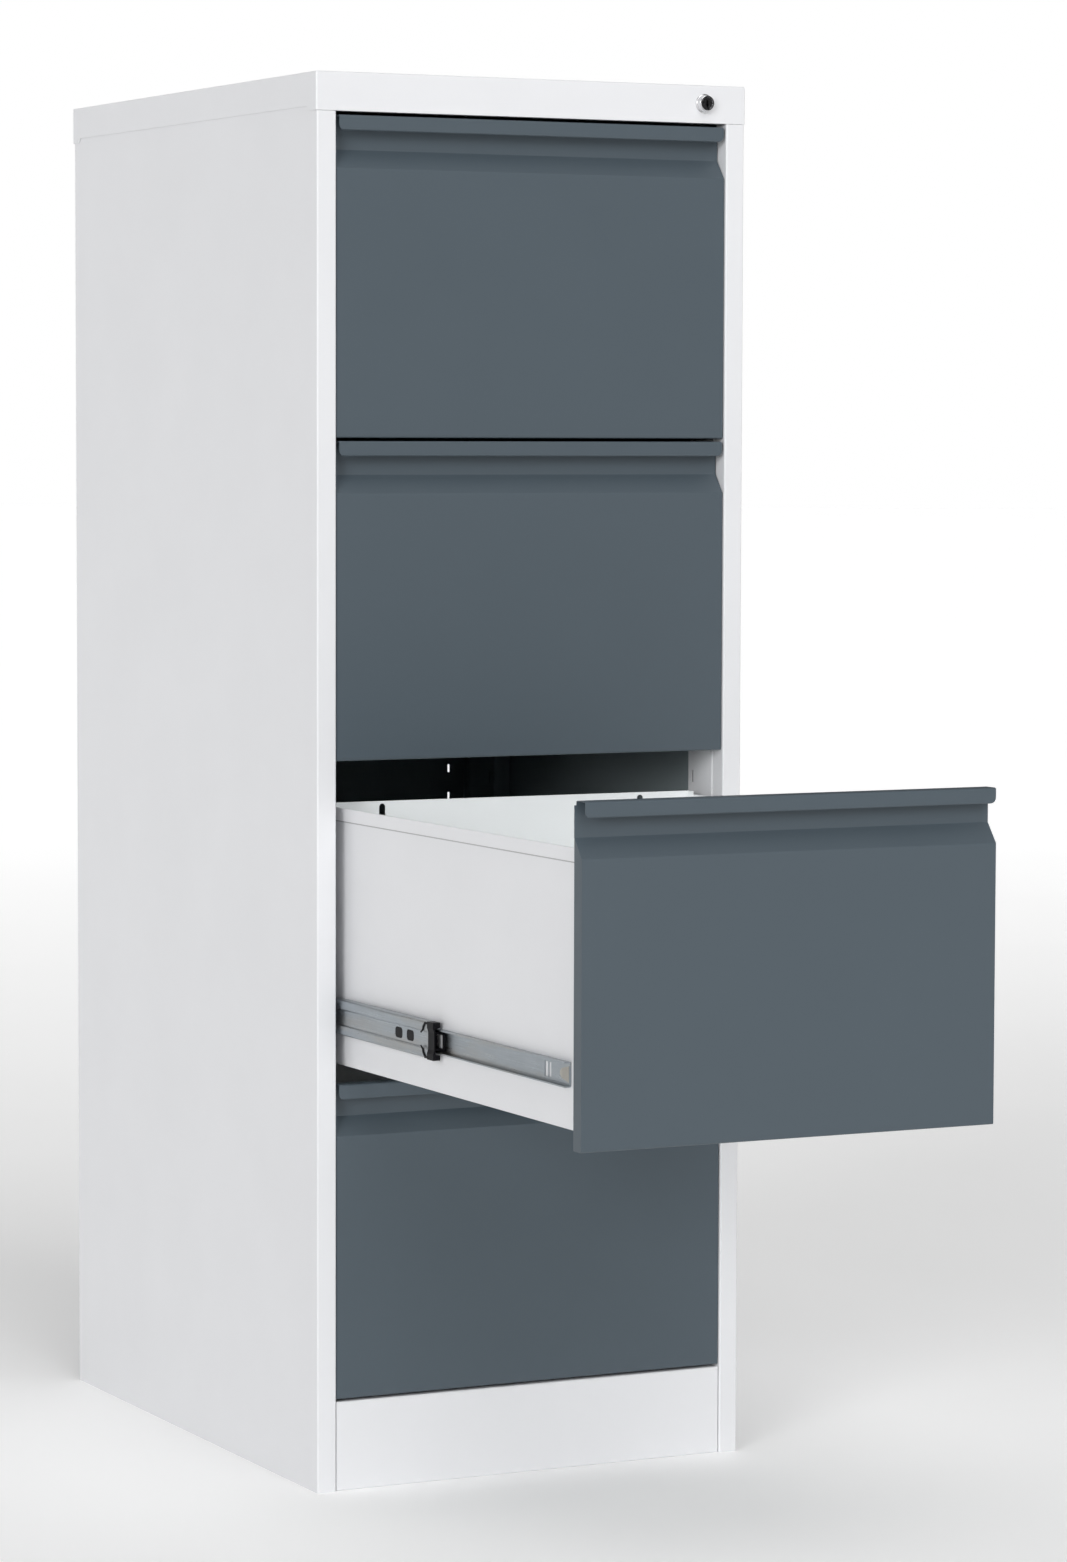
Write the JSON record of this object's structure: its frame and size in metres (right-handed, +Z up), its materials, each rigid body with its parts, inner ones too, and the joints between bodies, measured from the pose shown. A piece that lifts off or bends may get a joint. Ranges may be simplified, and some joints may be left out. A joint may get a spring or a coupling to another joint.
{
  "type": "metal filing cabinet",
  "caption": "Vertical steel filing cabinet with stacked full-width drawers on ball-bearing telescopic slides, integral lip pulls and a central lock; one drawer pulled out.",
  "frame": {"origin": "on the floor, under the middle of the carcass's width and depth", "axes": "+X to the right seen from the front, +Y to the back, +Z up; drawers pull out along -Y"},
  "size_m": [0.452, 1.125, 1.33],
  "materials": {
    "carcass_paint": "white powder coat, fine texture, satin",
    "front_paint": "blue-grey powder coat, fine texture, satin",
    "zinc_steel": "bright zinc-plated rolled steel",
    "chrome": "polished chrome",
    "black_plastic": "moulded black acetal, matt"
  },
  "bodies": {
    "cabinet": {"left_side_panel": "carcass_paint", "right_side_panel": "carcass_paint", "back_panel": "carcass_paint", "top_cap": "carcass_paint", "plinth": "carcass_paint", "floor_pan": "carcass_paint", "left_front_post": "carcass_paint", "right_front_post": "carcass_paint", "left_rear_post": "carcass_paint", "right_rear_post": "carcass_paint", "lock_housing": "chrome", "lock_nut": "zinc_steel", "lock_bar_guides": "zinc_steel", "levelling_feet": "zinc_steel", "back_screws": "zinc_steel", "left_cabinet_rails": "zinc_steel", "right_cabinet_rails": "zinc_steel"},
    "lock_plug": {"lock_plug": "chrome", "lock_cam": "zinc_steel"},
    "lock_bar": {"lock_bar": "zinc_steel"},
    "drawer_1": {"drawer_1_front": "front_paint", "drawer_1_inner_front": "carcass_paint", "drawer_1_tray": "carcass_paint", "drawer_1_back": "carcass_paint", "drawer_1_latch_catch": "zinc_steel", "drawer_1_inner_rails": "zinc_steel"},
    "drawer_1_middle": {"drawer_1_middle_rails": "zinc_steel", "drawer_1_bumpers": "black_plastic"},
    "drawer_1_outer_cage": {"drawer_1_outer_ball_cages": "zinc_steel"},
    "drawer_1_inner_cage": {"drawer_1_inner_ball_cages": "zinc_steel"},
    "drawer_2": {"drawer_2_front": "front_paint", "drawer_2_inner_front": "carcass_paint", "drawer_2_tray": "carcass_paint", "drawer_2_back": "carcass_paint", "drawer_2_latch_catch": "zinc_steel", "drawer_2_inner_rails": "zinc_steel"},
    "drawer_2_middle": {"drawer_2_middle_rails": "zinc_steel", "drawer_2_bumpers": "black_plastic"},
    "drawer_2_outer_cage": {"drawer_2_outer_ball_cages": "zinc_steel"},
    "drawer_2_inner_cage": {"drawer_2_inner_ball_cages": "zinc_steel"},
    "drawer_3": {"drawer_3_front": "front_paint", "drawer_3_inner_front": "carcass_paint", "drawer_3_tray": "carcass_paint", "drawer_3_back": "carcass_paint", "drawer_3_latch_catch": "zinc_steel", "drawer_3_inner_rails": "zinc_steel"},
    "drawer_3_middle": {"drawer_3_middle_rails": "zinc_steel", "drawer_3_bumpers": "black_plastic"},
    "drawer_3_outer_cage": {"drawer_3_outer_ball_cages": "zinc_steel"},
    "drawer_3_inner_cage": {"drawer_3_inner_ball_cages": "zinc_steel"},
    "drawer_4": {"drawer_4_front": "front_paint", "drawer_4_inner_front": "carcass_paint", "drawer_4_tray": "carcass_paint", "drawer_4_back": "carcass_paint", "drawer_4_latch_catch": "zinc_steel", "drawer_4_inner_rails": "zinc_steel"},
    "drawer_4_middle": {"drawer_4_middle_rails": "zinc_steel", "drawer_4_bumpers": "black_plastic"},
    "drawer_4_outer_cage": {"drawer_4_outer_ball_cages": "zinc_steel"},
    "drawer_4_inner_cage": {"drawer_4_inner_ball_cages": "zinc_steel"}
  },
  "joints": [
    {"name": "lock_bar_slide", "type": "slide", "parent": "cabinet", "child": "lock_bar", "axis": [0, 0, -1], "range_m": [0, 0.012]},
    {"name": "lock_plug_turn", "type": "hinge", "parent": "cabinet", "child": "lock_plug", "pos_m": [0.181, -0.31, 1.3125], "axis": [0, 1, 0], "range_deg": [0, 90]},
    {"name": "drawer_1_slide", "type": "slide", "parent": "cabinet", "child": "drawer_1", "axis": [0, -1, 0], "range_m": [0, 0.505]},
    {"name": "drawer_1_middle_slide", "type": "slide", "parent": "cabinet", "child": "drawer_1_middle", "axis": [0, -1, 0], "range_m": [0, 0.2525]},
    {"name": "drawer_1_outer_cage_slide", "type": "slide", "parent": "cabinet", "child": "drawer_1_outer_cage", "axis": [0, -1, 0], "range_m": [0, 0.12625]},
    {"name": "drawer_1_inner_cage_slide", "type": "slide", "parent": "cabinet", "child": "drawer_1_inner_cage", "axis": [0, -1, 0], "range_m": [0, 0.37875]},
    {"name": "drawer_2_slide", "type": "slide", "parent": "cabinet", "child": "drawer_2", "axis": [0, -1, 0], "range_m": [0, 0.505]},
    {"name": "drawer_2_middle_slide", "type": "slide", "parent": "cabinet", "child": "drawer_2_middle", "axis": [0, -1, 0], "range_m": [0, 0.2525]},
    {"name": "drawer_2_outer_cage_slide", "type": "slide", "parent": "cabinet", "child": "drawer_2_outer_cage", "axis": [0, -1, 0], "range_m": [0, 0.12625]},
    {"name": "drawer_2_inner_cage_slide", "type": "slide", "parent": "cabinet", "child": "drawer_2_inner_cage", "axis": [0, -1, 0], "range_m": [0, 0.37875]},
    {"name": "drawer_3_slide", "type": "slide", "parent": "cabinet", "child": "drawer_3", "axis": [0, -1, 0], "range_m": [-0.505, 0]},
    {"name": "drawer_3_middle_slide", "type": "slide", "parent": "cabinet", "child": "drawer_3_middle", "axis": [0, -1, 0], "range_m": [-0.2525, 0]},
    {"name": "drawer_3_outer_cage_slide", "type": "slide", "parent": "cabinet", "child": "drawer_3_outer_cage", "axis": [0, -1, 0], "range_m": [-0.12625, 0]},
    {"name": "drawer_3_inner_cage_slide", "type": "slide", "parent": "cabinet", "child": "drawer_3_inner_cage", "axis": [0, -1, 0], "range_m": [-0.37875, 0]},
    {"name": "drawer_4_slide", "type": "slide", "parent": "cabinet", "child": "drawer_4", "axis": [0, -1, 0], "range_m": [0, 0.505]},
    {"name": "drawer_4_middle_slide", "type": "slide", "parent": "cabinet", "child": "drawer_4_middle", "axis": [0, -1, 0], "range_m": [0, 0.2525]},
    {"name": "drawer_4_outer_cage_slide", "type": "slide", "parent": "cabinet", "child": "drawer_4_outer_cage", "axis": [0, -1, 0], "range_m": [0, 0.12625]},
    {"name": "drawer_4_inner_cage_slide", "type": "slide", "parent": "cabinet", "child": "drawer_4_inner_cage", "axis": [0, -1, 0], "range_m": [0, 0.37875]}
  ],
  "couplings": [
    {"joint": "lock_plug_turn", "follows": "lock_bar_slide", "rad_per_m": 130.89},
    {"joint": "drawer_1_middle_slide", "follows": "drawer_1_slide", "ratio": 0.5},
    {"joint": "drawer_1_outer_cage_slide", "follows": "drawer_1_slide", "ratio": 0.25},
    {"joint": "drawer_1_inner_cage_slide", "follows": "drawer_1_slide", "ratio": 0.75},
    {"joint": "drawer_2_middle_slide", "follows": "drawer_2_slide", "ratio": 0.5},
    {"joint": "drawer_2_outer_cage_slide", "follows": "drawer_2_slide", "ratio": 0.25},
    {"joint": "drawer_2_inner_cage_slide", "follows": "drawer_2_slide", "ratio": 0.75},
    {"joint": "drawer_3_middle_slide", "follows": "drawer_3_slide", "ratio": 0.5},
    {"joint": "drawer_3_outer_cage_slide", "follows": "drawer_3_slide", "ratio": 0.25},
    {"joint": "drawer_3_inner_cage_slide", "follows": "drawer_3_slide", "ratio": 0.75},
    {"joint": "drawer_4_middle_slide", "follows": "drawer_4_slide", "ratio": 0.5},
    {"joint": "drawer_4_outer_cage_slide", "follows": "drawer_4_slide", "ratio": 0.25},
    {"joint": "drawer_4_inner_cage_slide", "follows": "drawer_4_slide", "ratio": 0.75}
  ]
}
